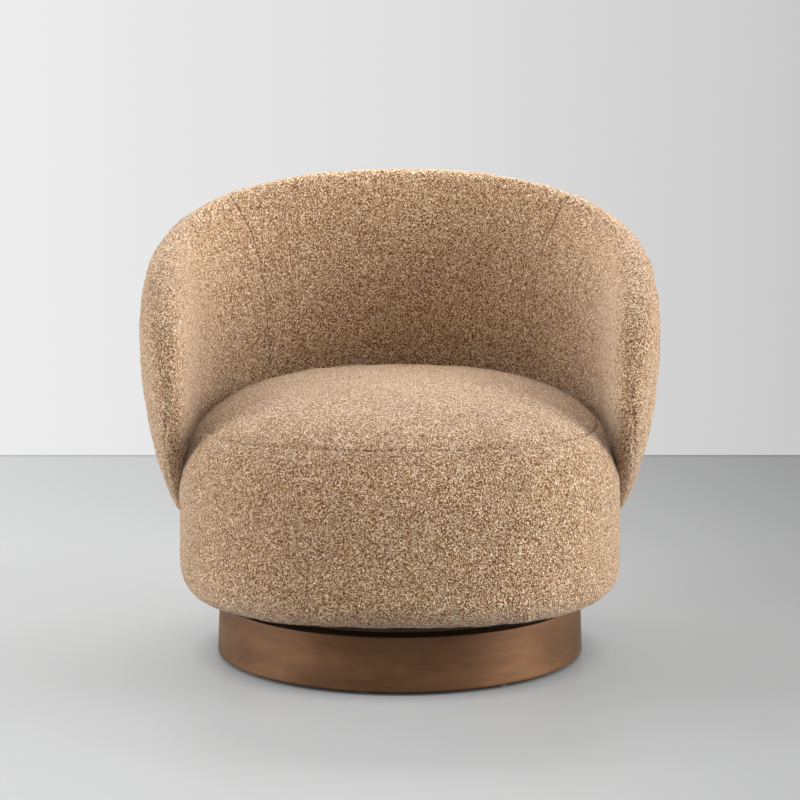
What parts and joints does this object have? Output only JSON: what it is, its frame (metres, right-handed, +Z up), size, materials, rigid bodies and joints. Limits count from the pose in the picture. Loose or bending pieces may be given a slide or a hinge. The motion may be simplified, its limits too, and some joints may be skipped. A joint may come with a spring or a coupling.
{
  "type": "swivel barrel chair",
  "caption": "Upholstered barrel chair: a domed drum seat held by a wrap-round back that falls to rounded arms, turning freely on a low round metal plinth.",
  "frame": {"origin": "on the floor, on the swivel axis, at the centre of the object's footprint box", "axes": "+X to the right of someone who faces the chair, +Y to the back of the chair, +Z up"},
  "size_m": [0.775, 0.7164, 0.7205],
  "materials": {
    "boucle": "looped bouclé, camel",
    "bronze_band": "brushed, darkened bronze tone with a mottled lacquer",
    "plywood": "raw plywood",
    "fibreboard": "thin bent fibreboard",
    "foam": "open-cell foam and polyester wadding",
    "felt": "needled felt",
    "webbing": "elastic webbing",
    "dust_cloth": "black non-woven cloth",
    "nylon": "dark nylon",
    "zinc_steel": "zinc plated",
    "plate_steel": "pressed steel sheet",
    "spring_steel": "hard-drawn wire",
    "bearing_steel": "polished balls"
  },
  "bodies": {
    "base": {"base_band": "bronze_band", "base_bottom_board": "plywood", "base_spacer_blocks": "plywood", "base_top_board": "plywood", "base_top_screws": "zinc_steel", "base_bottom_screws": "zinc_steel", "glides": "nylon", "glide_nails": "zinc_steel", "swivel_lower_plate": "plate_steel", "swivel_lower_bolts": "zinc_steel", "swivel_lower_tee_nuts": "zinc_steel", "swivel_rivet": "zinc_steel", "rivet_washer": "nylon"},
    "cage": {"bearing_balls": "bearing_steel", "ball_cage": "plate_steel"},
    "chair": {"swivel_upper_plate": "plate_steel", "swivel_upper_bolts": "zinc_steel", "swivel_upper_tee_nuts": "zinc_steel", "seat_bottom_board": "plywood", "seat_frame_posts": "plywood", "seat_frame_screws": "zinc_steel", "seat_frame_rail": "plywood", "seat_side_board": "fibreboard", "seat_spring_1": "spring_steel", "seat_spring_2": "spring_steel", "seat_spring_3": "spring_steel", "seat_spring_4": "spring_steel", "seat_spring_5": "spring_steel", "spring_clips": "zinc_steel", "spring_tie_wires": "spring_steel", "spring_pad": "felt", "seat_foam": "foam", "seat_side_foam": "foam", "seat_top_cover": "boucle", "seat_border_cover": "boucle", "dust_cover": "dust_cloth", "back_lower_rib": "plywood", "back_arm_rib": "plywood", "back_shoulder_rib": "plywood", "back_top_rib": "plywood", "back_posts": "plywood", "back_bolts": "zinc_steel", "back_bolt_spacers": "plywood", "back_tee_nuts": "zinc_steel", "back_outer_board": "fibreboard", "back_webbing": "webbing", "back_inner_foam": "foam", "back_outer_foam": "foam", "outside_back_cover": "boucle", "inside_back_cover": "boucle", "inside_arm_cover_left": "boucle", "inside_arm_cover_right": "boucle"}
  },
  "joints": [
    {"name": "swivel", "type": "hinge", "parent": "base", "child": "chair", "pos_m": [0, 0, 0.09825], "axis": [0, 0, 1], "continuous": true},
    {"name": "cage_roll", "type": "hinge", "parent": "base", "child": "cage", "pos_m": [0, 0, 0.09825], "axis": [0, 0, 1], "continuous": true}
  ],
  "couplings": [
    {"joint": "cage_roll", "follows": "swivel", "ratio": 0.5}
  ]
}
